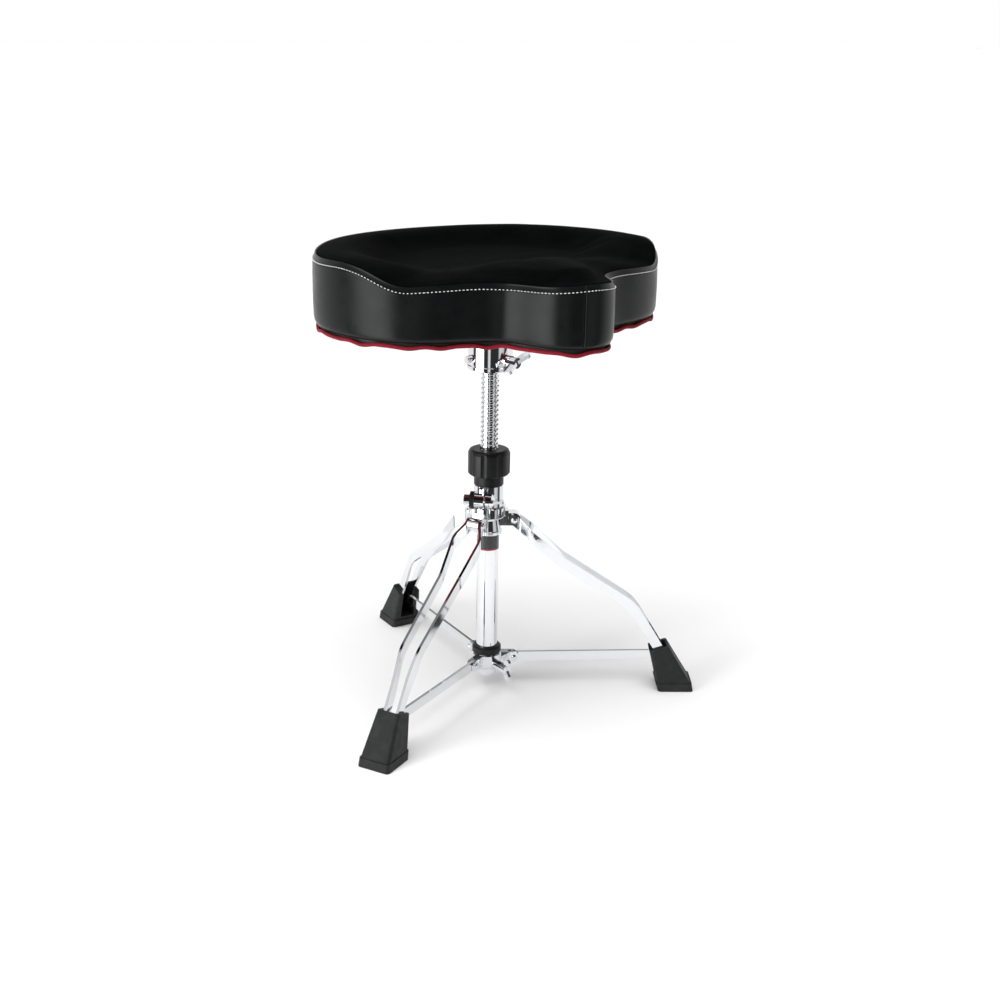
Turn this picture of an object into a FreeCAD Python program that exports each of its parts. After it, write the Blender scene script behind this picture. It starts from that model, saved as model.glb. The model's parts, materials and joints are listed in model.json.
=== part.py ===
"""Drum throne: a saddle seat on a threaded height rod and a folding double-braced tripod.

Frame: origin on the post's axis at the floor, +Z up, the seat's nose points to -Y.
Leg 1 points to -30 degrees, leg 2 (rear) to 90 degrees, leg 3 to 210 degrees.
"""
import FreeCAD
import Part
import math
import os
import Sketcher

V = FreeCAD.Vector
Z_AXIS = V(0, 0, 1)

# ---------------------------------------------------------------- driving dimensions, mm
SIZES = {
    # post tube
    "tube_d": 28.6, "tube_bore": 25.2, "tube_low": 23, "tube_top": 285,
    "plug_low": 16.5, "plug_dome": 6.5, "plug_inside": 10,
    "label_low": 199.5, "label_top": 221.6, "label_wall": 0.5, "label_line": 2,
    # upper hub that carries the legs
    "hub_low": 221.6, "hub_ring_top": 225.7, "hub_ring_d": 38, "hub_neck_d": 31.6,
    "hub_neck_z": 241, "hub_body_d": 47, "hub_body_low": 244.4, "hub_top": 260.6, "hub_bevel": 2,
    "ear_wide": 16, "ear_end": 8.6, "pivot_reach": 34, "pivot_z": 241.5, "pivot_bolt_d": 6,
    # split clamp sleeve above the hub
    "sleeve_d": 39.3, "sleeve_top": 289, "slit": 2.4, "lug_reach": 28, "lug_z": 273.5,
    "lug_end": 9.6, "lug_near": 12.5, "lug_far": 4.6, "clamp_bolt_d": 7,
    "window_wide": 7.5, "window_tall": 7, "washer_d": 23.4, "washer_wide": 5.6,
    "clamp_nut_d": 14.4, "clamp_nut_wide": 8, "screw_flange_d": 18.4, "screw_flange": 3,
    "screw_cone": 4, "tab_long": 16, "tab_root": 12, "tab_tip": 9, "tab_thick": 3.6,
    # threaded height rod, its liner and end guide
    "rod_d": 23.6, "rod_core_d": 20.6, "thread_pitch": 6.4, "rod_low": 130, "thread_low": 158,
    "thread_top": 440, "rod_stub_d": 22, "rod_top": 487, "guide_low": 122, "guide_top": 146,
    "guide_d": 25.1, "key_wide": 3, "liner_low": 262, "running_gap": 0.06,
    # height nut in its knob, on the black collar
    "collar_d": 39, "collar_top": 302.2, "collar_bore": 24.4, "knob_low": 302.5, "knob_top": 336.5,
    "knob_d": 54.8, "knob_shoulder": 5, "flute_count": 8, "flute_r": 8, "flute_bite": 1.6,
    "nut_d": 34, "nut_low": 306, "nut_top": 331,
    # receiver under the seat
    "cup_low": 443, "cup_rim_top": 448.4, "cup_rim_d": 60, "cup_d": 57.6, "cup_wall": 3,
    "cup_floor": 6, "socket_roof": 4, "wing_boss_d": 15, "screw_boss_d": 11, "screw_boss_reach": 32,
    "key_screw_d": 6, "key_head_d": 9.2, "key_head": 4, "bolt_gap": 0.05, "boss_d": 31,
    "plate_low": 497, "plate_top": 501, "plate_d": 112, "plate_pcd": 84,
    "seat_bolt_d": 6, "seat_bolt_head_d": 11.5, "seat_bolt_head": 4, "seat_bolt_long": 18,
    "hex_socket_d": 4.6, "tee_flange_d": 19, "tee_flange": 1.4, "tee_barrel_d": 8,
    "wing_z": 457.5, "wing_bolt_d": 8, "wing_reach": 39, "wing_span": 23.5, "wing_thick": 5,
    "wing_tip_r": 5.5, "wing_root": 9,
    # seat
    "cover_thick": 3.3, "board_thick": 11, "board_inset": 10, "vinyl_low": 514.8,
    "vinyl_top": 576.5, "vinyl_thick": 2.2, "cloth_low": 576.9, "seat_front_z": 589,
    "seat_rear_z": 603, "cloth_inset": 4, "cloth_round": 9,
    "nose_reach": 228, "nose_x": 44, "nose_y": 206.5, "crease_x": 72.5, "crease_y": 152,
    "hollow_x": 128, "hollow_y": 127.5, "shoulder_x": 190, "shoulder_y": 92, "flank_x": 220,
    "flank_y": 38,
    "seat_half_width": 228, "middle_y": 20, "haunch_x": 198.4,
    "haunch_y": 95, "rear_x": 135, "rear_y": 160, "rear_reach": 195,
    # tripod legs: centre line of a bar in the leg's own plane
    "bar_deep": 13, "bar_thick": 3.6, "knee_reach": 96.4, "knee_z": 185.5, "knee_r": 30,
    "shin_reach": 194.5, "shin_z": 121.3, "shin_r": 60, "toe_reach": 252, "toe_z": 27.5,
    "spread_reach": 57, "spread_gap": 17.5, "waist_reach": 100, "waist_gap": 11.8,
    "calf_reach": 198, "calf_gap": 10.2, "foot_reach": 217, "foot_gap": 7.2,
    "bend_r": 60, "ear_bend_r": 8, "spread_bend_r": 14, "waist_bend_r": 60,
    # rubber feet
    "sole_in": 233.5, "sole_out": 281.5, "sole_half": 22.6, "sole_band": 11, "foot_inset": 1.6,
    "foot_top_in": 221, "foot_top_in_z": 55, "foot_top_out": 246, "foot_top_out_z": 63.5,
    "foot_corner_r": 4.5,
    "foot_top_half": 16, "foot_floor": 16, "slot_wall": 1.7, "slot_r": 6,
    "pin_reach": 242, "pin_z": 42, "pin_d": 4.8, "pin_depth": 5,
    # stays and the lower hub
    "stay_deep": 13, "stay_thick": 4, "stay_in": 37, "stay_in_z": 42.5, "stay_out": 219.9,
    "stay_out_z": 46, "low_hub_d": 41, "low_hub_low": 30, "low_hub_top": 51, "ring_d": 38.8,
    "ring_top": 60.5, "low_ear_wide": 11.4, "low_ear_end": 7.5, "slide_gap": 0.1,
    "low_wing_z": 37, "low_boss_d": 13, "low_wing_d": 8, "low_wing_reach": 36, "low_wing_span": 15,
    "fold_gap": 0.3,
}

doc = FreeCAD.newDocument("drum_throne")
sheet = doc.addObject("Spreadsheet::Sheet", "sizes")
for row, (alias, number) in enumerate(SIZES.items(), 1):
    sheet.set(f"A{row}", alias)
    sheet.set(f"B{row}", str(number))
    sheet.setAlias(f"B{row}", alias)
doc.recompute()

LEG_ANGLES = {"leg_1": -30.0, "leg_2": 90.0, "leg_3": 210.0}
CLAMP_ANGLE = -130.0
WING_ANGLE = -76.0
SCREW_ANGLE = 180.0
LOW_WING_ANGLE = -82.0
RECEIVER_WING_TILT = 26.0
LOW_WING_TILT = 90.0
PARTS = []


# ---------------------------------------------------------------- small helpers
def size(text):
    """Value of a sum such as 'tube_d / 2 + 1.5', whose words are sizes in the sheet."""
    total, term, sign, divide = 0.0, None, 1.0, False
    for word in text.split() + ["+"]:
        if word in "+-":
            total += sign * term
            term, sign = None, (1.0 if word == "+" else -1.0)
        elif word in "*/":
            divide = word == "/"
        else:
            number = float(getattr(sheet, word)) if word[0].isalpha() else float(word)
            if term is None:
                term = number
            else:
                term = term / number if divide else term * number
    return total


def formula(text):
    """The same sum as an expression of the spreadsheet."""
    return " ".join("sizes." + word if word[0].isalpha() else word for word in text.split())


def keep(node, label):
    """Name a finished sub-part; its label is its node's name."""
    node.Label = label
    PARTS.append(node)
    return node


def sketch_on(body, role, name):
    plane = next(item for item in body.Origin.OriginFeatures if item.Role == role)
    sketch = body.newObject("Sketcher::SketchObject", name)
    sketch.AttachmentSupport = [(plane, "")]
    sketch.MapMode = "FlatFace"
    return sketch


def pin(sketch, kind, corner, text):
    """Hold one coordinate of a line's first point to a sum of sizes."""
    amount = size(text)
    if abs(amount) < 1e-9:
        axis = -2 if kind == "DistanceX" else -1
        sketch.addConstraint(Sketcher.Constraint("PointOnObject", corner, 1, axis))
        return
    index = sketch.addConstraint(Sketcher.Constraint(kind, -1, 1, corner, 1, amount))
    sketch.setExpression(f"Constraints[{index}]", formula(text))


def polygon(sketch, corners):
    points = [V(size(x), size(y), 0) for x, y in corners]
    last = len(points)
    for index, point in enumerate(points):
        sketch.addGeometry(Part.LineSegment(point, points[(index + 1) % last]), False)
    for index in range(last):
        sketch.addConstraint(Sketcher.Constraint("Coincident", index, 2, (index + 1) % last, 1))
    for index, (x, y) in enumerate(corners):
        pin(sketch, "DistanceX", index, x)
        pin(sketch, "DistanceY", index, y)


def turned(label, corners):
    """A turned piece: corners are (radius, height) sums, revolved about the post's axis."""
    body = doc.addObject("PartDesign::Body", label + "_body")
    sketch = sketch_on(body, "XZ_Plane", label + "_section")
    polygon(sketch, corners)
    turn = body.newObject("PartDesign::Revolution", label + "_turn")
    turn.Profile = sketch
    turn.ReferenceAxis = (sketch, ["V_Axis"])
    turn.Angle = 360
    sketch.Visibility = False
    return body


def cylinder(name, radius, height, place):
    solid = doc.addObject("Part::Cylinder", name)
    solid.setExpression("Radius", formula(radius))
    solid.setExpression("Height", formula(height))
    solid.Placement = place
    return solid


def box(name, length, width, height, place):
    solid = doc.addObject("Part::Box", name)
    solid.setExpression("Length", formula(length))
    solid.setExpression("Width", formula(width))
    solid.setExpression("Height", formula(height))
    solid.Placement = place
    return solid


def fuse(name, solids):
    result = doc.addObject("Part::MultiFuse", name)
    result.Shapes = solids
    result.Refine = True
    return result


def cut(name, base, tool):
    result = doc.addObject("Part::Cut", name)
    result.Base = base
    result.Tool = tool
    result.Refine = True
    return result


def radial(angle, reach=0.0, side=0.0, height=0.0):
    """Placement at a post angle: local +X points outward, +Y to the left, +Z up."""
    turn = FreeCAD.Rotation(Z_AXIS, angle)
    return FreeCAD.Placement(turn.multVec(V(reach, side, height)), turn)


def along_side(angle, reach, side, height):
    """Placement whose +Z points along the tangent at a post angle."""
    place = radial(angle, reach, side, height)
    return place.multiply(FreeCAD.Placement(V(), FreeCAD.Rotation(V(1, 0, 0), -90)))


def along_radius(angle, reach, side, height):
    """Placement whose +Z points outward at a post angle."""
    place = radial(angle, reach, side, height)
    return place.multiply(FreeCAD.Placement(V(), FreeCAD.Rotation(V(0, 1, 0), 90)))


def feature(label, shape, place=None):
    node = doc.addObject("Part::Feature", label + "_shape")
    node.Shape = shape
    if place:
        node.Placement = place.multiply(shape.Placement)
    return keep(node, label)


def mitred(points, distance):
    """Points of an open path, moved sideways to its left by a distance."""
    moved = []
    for index, point in enumerate(points):
        before = points[max(index - 1, 0)]
        after = points[min(index + 1, len(points) - 1)]
        one = (point.sub(before) if index else after.sub(point)).normalize()
        two = (after.sub(point) if index < len(points) - 1 else point.sub(before)).normalize()
        normal = V(-one.y, one.x, 0).add(V(-two.y, two.x, 0)).normalize()
        stretch = distance / normal.dot(V(-one.y, one.x, 0))
        moved.append(point.add(normal.multiply(stretch)))
    return moved


def arc_wire(corners, radii):
    """Closed wire of straight runs joined by tangent arcs; radius 0 keeps a corner sharp."""
    count = len(corners)
    ends = []
    for index, corner in enumerate(corners):
        back = corners[index - 1].sub(corner).normalize()
        ahead = corners[(index + 1) % count].sub(corner).normalize()
        half = back.getAngle(ahead) / 2
        reach = radii[index] / math.tan(half) if radii[index] else 0.0
        middle = None
        if reach:
            centre = back.add(ahead).normalize().multiply(radii[index] / math.sin(half))
            middle = corner.add(centre).sub(V(centre).normalize().multiply(radii[index]))
        ends.append((corner.add(back.multiply(reach)), middle, corner.add(ahead.multiply(reach))))
    edges = []
    for index, (start, middle, stop) in enumerate(ends):
        if middle:
            edges.append(Part.Arc(start, middle, stop).toShape())
        edges.append(Part.LineSegment(stop, ends[(index + 1) % count][0]).toShape())
    return Part.Wire(edges)


def slab(wire, direction):
    return Part.Face(wire).extrude(direction)


# ---------------------------------------------------------------- post
def make_post():
    keep(turned("base_tube", [("tube_bore / 2", "tube_low"), ("tube_d / 2", "tube_low"),
                              ("tube_d / 2", "tube_top"), ("tube_bore / 2", "tube_top")]),
         "base_tube")
    plug = turned("tube_end_plug", [
        ("0", "plug_low"), ("tube_d / 2 - 4", "plug_low"), ("tube_d / 2 - 1", "plug_low + 2.5"),
        ("tube_d / 2 - 0.3", "tube_low"), ("tube_bore / 2", "tube_low"),
        ("tube_bore / 2", "tube_low + plug_inside"), ("0", "tube_low + plug_inside")])
    keep(plug, "tube_end_plug")
    inner = "tube_d / 2"
    outer = "tube_d / 2 + label_wall"
    line = "label_low + label_line"
    keep(turned("label_band", [(inner, line), (outer, line), (outer, "label_top"),
                               (inner, "label_top")]), "label_band")
    keep(turned("label_stripe", [(inner, "label_low"), (outer, "label_low"), (outer, line),
                                 (inner, line)]), "label_stripe")


def make_upper_hub():
    bore = "tube_d / 2"
    core = turned("hub_core", [
        (bore, "hub_low"), ("hub_ring_d / 2", "hub_low"), ("hub_ring_d / 2", "hub_ring_top"),
        ("hub_ring_d / 2 - 1", "hub_ring_top + 1"), ("hub_neck_d / 2", "hub_neck_z"),
        ("hub_body_d / 2 - hub_bevel", "hub_body_low"), ("hub_body_d / 2", "hub_body_low + hub_bevel"),
        ("hub_body_d / 2", "hub_top - hub_bevel"), ("hub_body_d / 2 - hub_bevel", "hub_top"),
        (bore, "hub_top")])
    solids = [core]
    for angle in LEG_ANGLES.values():
        solids.append(cylinder("ear_end", "ear_end", "ear_wide", along_side(
            angle, size("pivot_reach"), -size("ear_wide / 2"), size("pivot_z"))))
        block = box("ear_block", "pivot_reach - tube_d / 2 - 1", "ear_wide", "2 * ear_end", radial(
            angle, size("tube_d / 2 + 1"), -size("ear_wide / 2"), size("pivot_z - ear_end")))
        solids.append(block)
        solids.append(box("ear_gusset", "9", "ear_wide", "12", radial(
            angle, size("hub_body_d / 2 - 6"), -size("ear_wide / 2"), size("pivot_z"))))
    body = fuse("hub_solid", solids)
    holes = [cylinder("pivot_hole", "pivot_bolt_d / 2 + 0.05", "ear_wide + 20", along_side(
        angle, size("pivot_reach"), -size("ear_wide / 2 + 10"), size("pivot_z")))
        for angle in LEG_ANGLES.values()]
    for step in range(12):
        angle = LEG_ANGLES["leg_1"] + 30 * step
        if step % 4:
            holes.append(cylinder("hub_flute", "2.4", "hub_top - hub_body_low", radial(
                angle, size("hub_body_d / 2 + 1.2"), 0, size("hub_body_low"))))
    keep(cut("hub_cut", body, fuse("hub_holes", holes)), "upper_hub")


def make_clamp():
    bore = "tube_d / 2"
    ring = turned("sleeve_ring", [
        (bore, "hub_top"), ("sleeve_d / 2", "hub_top"), ("sleeve_d / 2", "sleeve_top - 1"),
        ("sleeve_d / 2 - 1", "sleeve_top"), ("collar_bore / 2", "sleeve_top"),
        ("collar_bore / 2", "tube_top"), (bore, "tube_top")])
    solids = [ring]
    for start, wide in (("slit / 2", "lug_far"), ("0 - slit / 2 - lug_near", "lug_near")):
        solids.append(cylinder("lug_end", "lug_end", wide, along_side(
            CLAMP_ANGLE, size("lug_reach"), size(start), size("lug_z"))))
        solids.append(box("lug_block", "lug_reach - tube_d / 2 - 1", wide, "2 * lug_end", radial(
            CLAMP_ANGLE, size("tube_d / 2 + 1"), size(start), size("lug_z - lug_end"))))
    holes = fuse("clamp_holes", [
        box("clamp_slit", "lug_reach + lug_end", "slit", "sleeve_top - hub_top", radial(
            CLAMP_ANGLE, 2, -size("slit / 2"), size("hub_top + 1"))),
        box("clamp_window", "sleeve_d / 2", "window_wide", "window_tall", radial(
            CLAMP_ANGLE, size("tube_d / 2 + 1"), -size("window_wide / 2"),
            size("sleeve_top - window_tall"))),
        cylinder("clamp_bore", "clamp_bolt_d / 2 + bolt_gap", "lug_near + slit + lug_far", along_side(
            CLAMP_ANGLE, size("lug_reach"), -size("slit / 2 + lug_near"), size("lug_z")))])
    keep(cut("sleeve_cut", fuse("sleeve_solid", solids), holes), "clamp_sleeve")

    near_face = -size("slit / 2 + lug_near")
    far_face = size("slit / 2 + lug_far")
    spot = (size("lug_reach"), size("lug_z"))

    def disc(name, radius, wide, side):
        return cylinder(name, radius, wide, along_side(CLAMP_ANGLE, spot[0], side, spot[1]))

    hole = "clamp_bolt_d / 2 + bolt_gap"
    nut_face = near_face - size("washer_wide")
    end_face = nut_face - size("clamp_nut_wide")
    washer = cut("washer_cut", disc("washer", "washer_d / 2", "washer_wide", nut_face),
                 disc("washer_hole", hole, "washer_wide", nut_face))
    keep(washer, "clamp_washer")
    nut = cut("nut_cut", disc("nut", "clamp_nut_d / 2", "clamp_nut_wide", end_face),
              disc("nut_hole", hole, "clamp_nut_wide", end_face))
    keep(nut, "clamp_nut")
    # tightening screw: shank, flange, cone and a flat thumb tab in line with the shank
    flange_face = far_face + size("fold_gap")
    cone_face = flange_face + size("screw_flange")
    shank = disc("screw_shank", "clamp_bolt_d / 2", "washer_wide + clamp_nut_wide + lug_near + "
                 "slit + lug_far + fold_gap", end_face)
    flange = disc("screw_flange", "screw_flange_d / 2", "screw_flange", flange_face)
    cone = doc.addObject("Part::Cone", "screw_cone")
    for name, text in (("Radius1", "screw_flange_d / 2"), ("Radius2", "tab_thick"),
                       ("Height", "screw_cone")):
        cone.setExpression(name, formula(text))
    cone.Placement = along_side(CLAMP_ANGLE, spot[0], cone_face, spot[1])
    root, tip, thick = size("tab_root / 2"), size("tab_tip / 2"), size("tab_thick / 2")
    long = size("tab_long")
    corners = [V(-root, -thick, 0), V(root, -thick, 0), V(tip, -thick, long), V(-tip, -thick, long)]
    tab = doc.addObject("Part::Feature", "thumb_tab")
    tab.Shape = slab(arc_wire(corners, [0, 0, thick, thick]), V(0, 2 * thick, 0))
    tab.Placement = along_side(CLAMP_ANGLE, spot[0], cone_face, spot[1])
    keep(fuse("clamp_lever_solid", [shank, flange, cone, tab]), "clamp_lever")


# ---------------------------------------------------------------- height rod and nut
def make_rod():
    core = turned("rod_core", [
        ("0", "rod_low"), ("rod_core_d / 2", "rod_low"), ("rod_core_d / 2", "thread_top + 2"),
        ("rod_stub_d / 2", "thread_top + 2"), ("rod_stub_d / 2", "rod_top - 1"),
        ("rod_stub_d / 2 - 1", "rod_top"), ("0", "rod_top")])
    doc.recompute()
    pitch = size("thread_pitch")
    root, crest = size("rod_core_d / 2"), size("rod_d / 2")
    turns = round(size("thread_top - thread_low") / pitch)
    helix = Part.makeHelix(pitch, turns * pitch, root)
    low = [V(root - 0.4, 0, -0.36 * pitch), V(crest, 0, -0.17 * pitch),
           V(crest, 0, 0.17 * pitch), V(root - 0.4, 0, 0.36 * pitch)]
    section = Part.makePolygon(low + low[:1])
    ridge = Part.Wire(helix).makePipeShell([section], True, True)
    ridge.translate(V(0, 0, size("thread_low")))
    solid = core.Shape.fuse(ridge)
    slot = Part.makeBox(4, size("key_wide"), 400, V(root - 0.2, -size("key_wide") / 2, 100))
    slot.rotate(V(), Z_AXIS, 90)
    limit = Part.makeCylinder(40, size("thread_top + 2") - 100, V(0, 0, 100))
    solid = solid.cut(slot.common(limit))
    feature("threaded_rod", solid)
    keep(turned("rod_guide", [
        ("rod_core_d / 2", "rod_low"), ("rod_core_d / 2", "guide_top"),
        ("guide_d / 2 - 1", "guide_top"), ("guide_d / 2", "guide_top - 1"),
        ("guide_d / 2", "guide_low + 1"), ("guide_d / 2 - 1", "guide_low"), ("0", "guide_low"),
        ("0", "rod_low")]), "rod_guide")
    liner = turned("liner_ring", [
        ("rod_d / 2 + running_gap", "liner_low"), ("tube_bore / 2", "liner_low"),
        ("tube_bore / 2", "tube_top"), ("rod_d / 2 + running_gap", "tube_top")])
    key = box("liner_key", "1.5", "key_wide - 0.3", "tube_top - liner_low", radial(
        90, size("rod_core_d / 2 + 0.25"), -size("key_wide / 2 - 0.15"), size("liner_low")))
    keep(fuse("liner_solid", [liner, key]), "rod_liner")


def make_height_nut():
    bore = "collar_bore / 2"
    keep(turned("knob_collar", [
        (bore, "sleeve_top"), ("collar_d / 2", "sleeve_top"), ("collar_d / 2", "collar_top - 1.5"),
        ("collar_d / 2 - 1.5", "collar_top"), (bore, "collar_top")]), "knob_collar")
    body = turned("height_knob", [
        (bore, "knob_low"), ("knob_d / 2 - 2", "knob_low"), ("knob_d / 2", "knob_low + 2"),
        ("knob_d / 2", "knob_top - knob_shoulder"), ("knob_d / 2 - 2", "knob_top - 1.2"),
        ("knob_d / 2 - 5", "knob_top"), (bore, "knob_top"), (bore, "nut_top"),
        ("nut_d / 2", "nut_top"), ("nut_d / 2", "nut_low"), (bore, "nut_low")])
    doc.recompute()
    flute = sketch_on(body, "XY_Plane", "flute_section")
    flute.addGeometry(Part.Circle(V(size("knob_d / 2 + flute_r - flute_bite"), 0, 0), Z_AXIS,
                                  size("flute_r")), False)
    flute.addConstraint(Sketcher.Constraint("PointOnObject", 0, 3, -1))
    for kind, ends, text in (("Radius", (0,), "flute_r"),
                             ("DistanceX", (-1, 1, 0, 3), "knob_d / 2 + flute_r - flute_bite")):
        index = flute.addConstraint(Sketcher.Constraint(kind, *ends, size(text)))
        flute.setExpression(f"Constraints[{index}]", formula(text))
    groove = body.newObject("PartDesign::Pocket", "flute")
    groove.Profile = flute
    groove.Type = "ThroughAll"
    groove.Reversed = True
    doc.recompute()
    ring = body.newObject("PartDesign::PolarPattern", "flutes")
    ring.Originals = [groove]
    ring.Axis = (flute, ["N_Axis"])
    ring.Angle = 360
    ring.Occurrences = int(size("flute_count"))
    body.Tip = ring
    doc.recompute()
    keep(body, "height_knob")
    inside = "rod_d / 2 + running_gap"
    keep(turned("height_nut", [(inside, "nut_low"), ("nut_d / 2", "nut_low"),
                               ("nut_d / 2", "nut_top"), (inside, "nut_top")]), "height_nut")


# ---------------------------------------------------------------- seat receiver and fasteners
def wing(name, bolt, span, thick, tip, shank, angle, reach, height, tilt):
    """Wing bolt along the radius at an angle: shank, hub and two flat wings with round tips."""
    place = along_radius(angle, reach, 0, height)
    turn = FreeCAD.Rotation(Z_AXIS, tilt)

    def local(x, y, z):
        return place.multiply(FreeCAD.Placement(turn.multVec(V(x, y, z)), turn))

    half, root = size(thick) / 2, size("wing_root")
    solids = [cylinder(name + "_shank", bolt + " / 2", shank, along_radius(
        angle, reach - size(shank), 0, height)),
        cylinder(name + "_hub", bolt + " / 2 + 3", "wing_root", local(0, 0, 0))]
    for side in (-1, 1):
        tip_y = side * (size(span) - size(tip))
        face = FreeCAD.Placement(V(), FreeCAD.Rotation(V(0, 1, 0), 90))
        solids.append(cylinder(name + "_tip", tip, thick, local(-half, tip_y, root).multiply(face)))
        corners = [V(-half, 0, 0.5), V(-half, tip_y, root - size(tip)),
                   V(-half, tip_y, root + size(tip)), V(-half, 0, root - 0.5)]
        plate = slab(Part.makePolygon(corners + corners[:1]), V(2 * half, 0, 0))
        web = doc.addObject("Part::Feature", name + "_web")
        web.Shape = plate
        web.Placement = local(0, 0, 0)
        solids.append(web)
    return keep(fuse(name + "_solid", solids), name)


def make_receiver():
    inner = "rod_stub_d / 2 + running_gap"
    cup = turned("receiver_cup", [
        (inner, "cup_low"), ("cup_rim_d / 2 - 1.5", "cup_low"), ("cup_rim_d / 2", "cup_low + 1.5"),
        ("cup_rim_d / 2", "cup_rim_top"), ("cup_d / 2", "cup_rim_top + 0.8"),
        ("cup_d / 2", "plate_low"), ("plate_d / 2", "plate_low"), ("plate_d / 2", "plate_top"),
        ("cup_d / 2 - cup_wall", "plate_top"), ("cup_d / 2 - cup_wall", "cup_low + cup_floor"),
        ("boss_d / 2", "cup_low + cup_floor"), ("boss_d / 2", "rod_top + socket_roof"),
        ("0", "rod_top + socket_roof"), ("0", "rod_top + fold_gap"), (inner, "rod_top + fold_gap")])
    bosses = [cup,
              cylinder("wing_boss", "wing_boss_d / 2", "wing_reach - fold_gap - boss_d / 2 + 1",
                       along_radius(WING_ANGLE, size("boss_d / 2 - 1"), 0, size("wing_z"))),
              cylinder("screw_boss", "screw_boss_d / 2", "screw_boss_reach - boss_d / 2 + 1",
                       along_radius(SCREW_ANGLE, size("boss_d / 2 - 1"), 0, size("wing_z")))]
    holes = [cylinder("seat_hole", "seat_bolt_d / 2 + 0.3", "6", radial(
        45 + 90 * step, size("plate_pcd / 2"), 0, size("plate_low - 1"))) for step in range(4)]
    holes.append(cylinder("wing_hole", "wing_bolt_d / 2 + bolt_gap", "wing_reach",
                          along_radius(WING_ANGLE, 0, 0, size("wing_z"))))
    holes.append(cylinder("screw_hole", "key_screw_d / 2", "screw_boss_reach",
                          along_radius(SCREW_ANGLE, 0, 0, size("wing_z"))))
    holes.append(cylinder("socket", inner, "rod_top + fold_gap - cup_low",
                          radial(0, 0, 0, size("cup_low"))))
    keep(cut("receiver_cut", fuse("receiver_solid", bosses), fuse("receiver_holes", holes)),
         "seat_receiver")
    screw_at = along_radius(SCREW_ANGLE, size("rod_stub_d / 2 + 1"), 0, size("wing_z"))
    head_at = along_radius(SCREW_ANGLE, size("screw_boss_reach"), 0, size("wing_z"))
    keep(fuse("key_screw", [
        cylinder("key_shank", "key_screw_d / 2", "screw_boss_reach - rod_stub_d / 2 - 1", screw_at),
        cylinder("key_head", "key_head_d / 2", "key_head", head_at)]), "receiver_screw")
    wing("receiver_wing_bolt", "wing_bolt_d", "wing_span", "wing_thick", "wing_tip_r",
         "wing_reach - rod_stub_d / 2 - 1", WING_ANGLE, size("wing_reach"), size("wing_z"),
         RECEIVER_WING_TILT)


def make_seat_fasteners():
    bolts, nuts = [], []
    board_top = size("plate_top + cover_thick + board_thick")
    for step in range(4):
        def at(height, step=step):
            return radial(45 + 90 * step, size("plate_pcd / 2"), 0, height)
        head = cylinder("bolt_head", "seat_bolt_head_d / 2", "seat_bolt_head",
                        at(size("plate_low - seat_bolt_head")))
        shank = cylinder("bolt_shank", "seat_bolt_d / 2", "seat_bolt_long", at(size("plate_low")))
        socket = cylinder("bolt_socket", "hex_socket_d / 2", "seat_bolt_head - 1.5",
                          at(size("plate_low - seat_bolt_head")))
        bolts.append(cut("seat_bolt", fuse("bolt_solid", [head, shank]), socket))
        low = board_top - size("board_thick - 2")
        flange = cylinder("tee_flange", "tee_flange_d / 2", "tee_flange", at(board_top))
        barrel = cylinder("tee_barrel", "tee_barrel_d / 2", "board_thick - 2", at(low))
        bore = cylinder("tee_bore", "seat_bolt_d / 2", "board_thick + tee_flange", at(low))
        nuts.append(cut("tee_nut", fuse("tee_solid", [flange, barrel]), bore))
    for label, group in (("seat_bolts", bolts), ("tee_nuts", nuts)):
        bundle = doc.addObject("Part::Compound", label + "_group")
        bundle.Links = group
        keep(bundle, label)


# ---------------------------------------------------------------- seat
def seat_outline(inset):
    """Plan of the saddle, moved inwards: narrow nose, thigh hollows, round shoulders, broad rear."""
    half = [(size("nose_x"), -size("nose_y")), (size("crease_x"), -size("crease_y")),
            (size("hollow_x"), -size("hollow_y")), (size("shoulder_x"), -size("shoulder_y")),
            (size("flank_x"), -size("flank_y")), (size("seat_half_width"), size("middle_y")),
            (size("haunch_x"), size("haunch_y")), (size("rear_x"), size("rear_y"))]
    points = [V(0, -size("nose_reach"), 0)] + [V(x, y, 0) for x, y in half]
    points.append(V(0, size("rear_reach"), 0))
    points += [V(-x, y, 0) for x, y in reversed(half)]
    curve = Part.BSplineCurve()
    curve.interpolate(points, PeriodicFlag=True)
    if inset:
        moved = []
        for index, point in enumerate(points):
            ahead = curve.tangent(curve.getKnot(index + 1))[0]
            moved.append(point.add(V(-ahead.y, ahead.x, 0).normalize().multiply(inset)))
        curve = Part.BSplineCurve()
        curve.interpolate(moved, PeriodicFlag=True)
    return Part.Wire(curve.toShape())


def outline_slab(inset, low, top):
    wire = seat_outline(inset)
    wire.translate(V(0, 0, low))
    return slab(wire, V(0, 0, top - low))


def bolt_clearance(radius, low, top):
    """Four cylinders on the seat bolts' circle."""
    pins = []
    for step in range(4):
        spot = radial(45 + 90 * step, size("plate_pcd / 2"), 0, low).Base
        pins.append(Part.makeCylinder(radius, top - low, spot))
    return Part.makeCompound(pins)


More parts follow.
